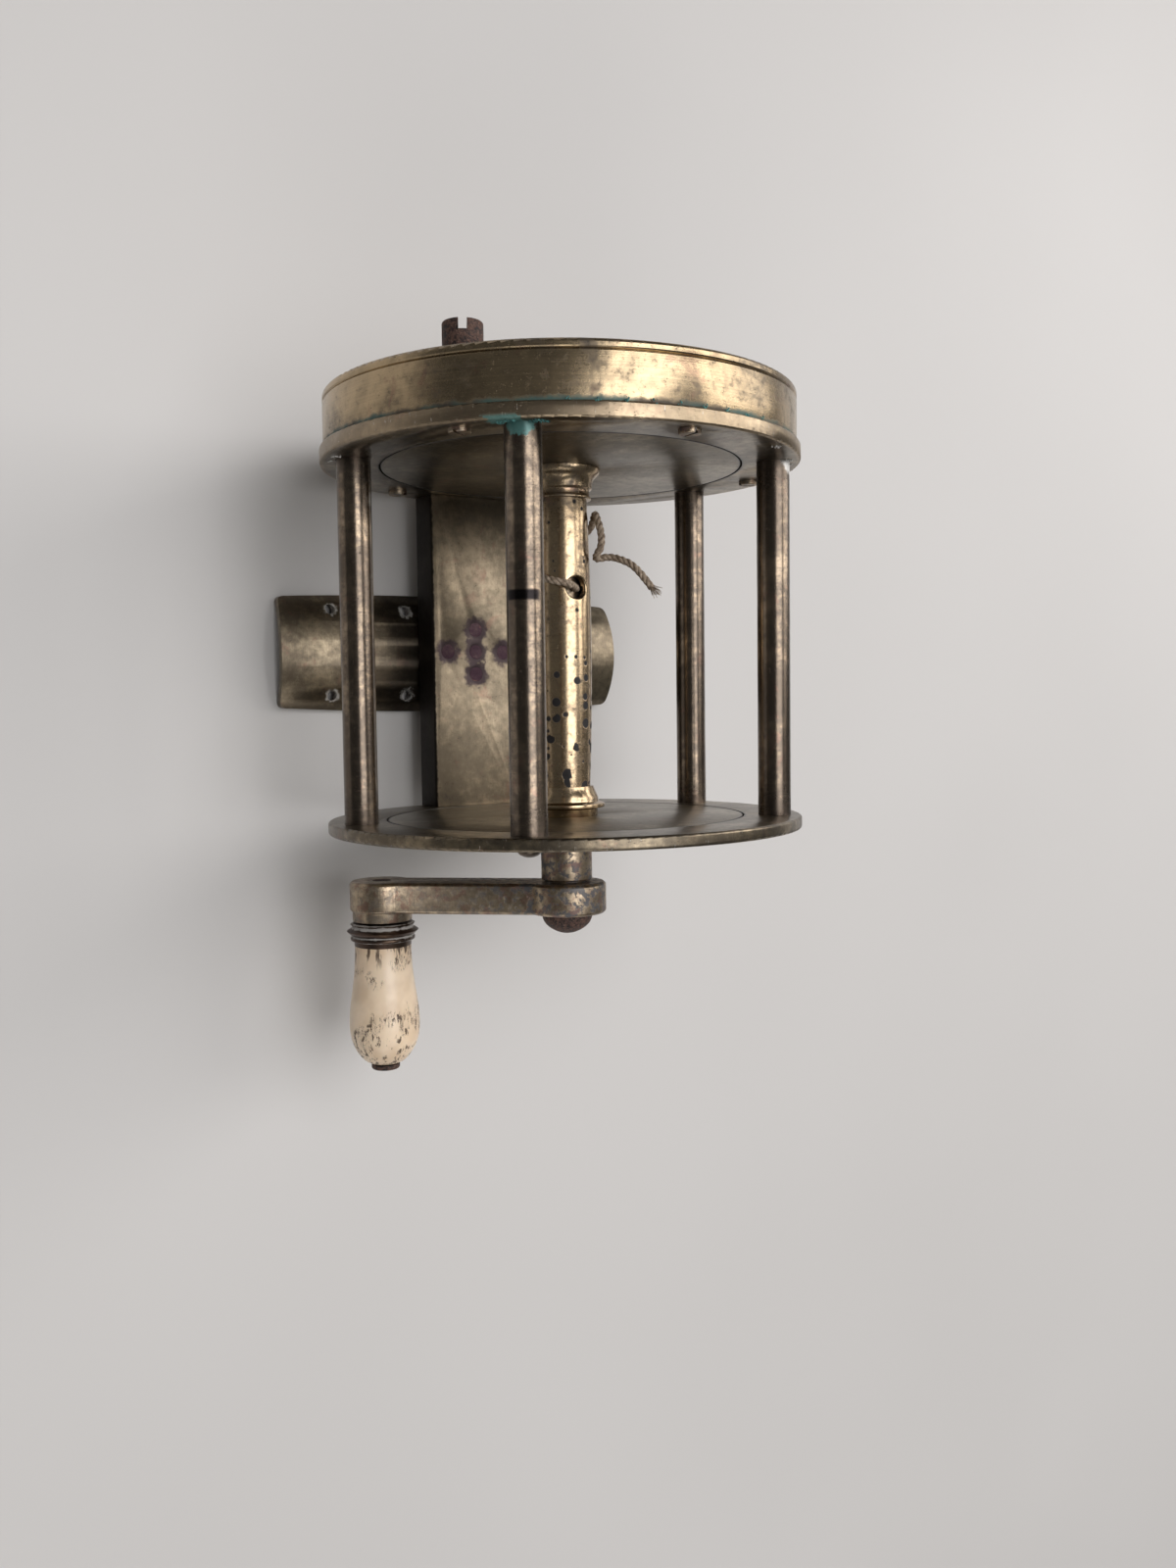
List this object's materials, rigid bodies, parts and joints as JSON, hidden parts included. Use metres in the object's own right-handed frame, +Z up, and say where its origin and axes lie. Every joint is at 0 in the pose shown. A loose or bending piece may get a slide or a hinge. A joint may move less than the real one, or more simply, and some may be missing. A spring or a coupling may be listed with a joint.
{
  "type": "crank winch fishing reel",
  "caption": "Crank-wind fishing reel with round end plates, pillars, a turning spool and crank knob, a click check in a drum case and a saddle foot.",
  "frame": {"origin": "middle of the foot's saddle underside, at its highest line", "axes": "+X along the rod the foot sits on, +Y along the spindle from the crank to the check case, +Z up from the foot to the spindle"},
  "size_m": [0.076, 0.1136, 0.0795],
  "materials": {
    "brass": "aged, dull, with dark patina",
    "brass_worn": "aged, worn brighter on the edges",
    "rivet": "dark purple-brown, filed flush",
    "iron": "rusty dark iron",
    "bone": "aged bone, satin, with dark cracks",
    "twine": "dull linen twine"
  },
  "bodies": {
    "frame": {"back_plate": "brass", "front_plate": "brass", "pillar_left_low": "brass", "pillar_left_high": "brass", "pillar_right_high": "brass", "pillar_right_low": "brass", "foot_block": "brass", "foot_saddle": "brass", "foot_rivet_middle": "rivet", "foot_rivet_left": "rivet", "foot_rivet_right": "rivet", "foot_rivet_back": "rivet", "foot_rivet_front": "rivet", "check_case": "brass", "case_screw_1": "iron", "case_screw_2": "iron", "case_screw_3": "iron", "case_screw_4": "iron", "case_lid": "brass", "front_bush": "brass", "back_bush": "brass", "check_pivot_screw": "iron", "check_spring": "iron", "spring_post": "brass"},
    "spool": {"spindle": "brass", "arbor": "brass", "arbor_collar_front": "brass", "arbor_collar_back": "brass", "spool_flange_front": "brass", "spool_flange_back": "brass", "ratchet_wheel": "brass", "ratchet_nut": "brass", "crank_arm": "brass_worn", "crank_screw": "iron", "knob_pin": "iron", "twine": "twine"},
    "knob": {"knob_ferrule": "brass", "knob_grip": "bone"},
    "pawl": {"check_pawl": "brass"}
  },
  "joints": [
    {"name": "crank_spin", "type": "hinge", "parent": "frame", "child": "spool", "pos_m": [0, 0, 0.0381], "axis": [0, 1, 0], "continuous": true},
    {"name": "knob_spin", "type": "hinge", "parent": "spool", "child": "knob", "pos_m": [-0.0239, -0.055, 0.01804], "axis": [0, 1, 0], "continuous": true},
    {"name": "pawl_swing", "type": "hinge", "parent": "frame", "child": "pawl", "pos_m": [-0.02543, 0.033, 0.05402], "axis": [0, -1, 0], "range_deg": [0, 5], "stiffness_Nm_per_rad": 0.01, "springref_deg": -2.86}
  ]
}
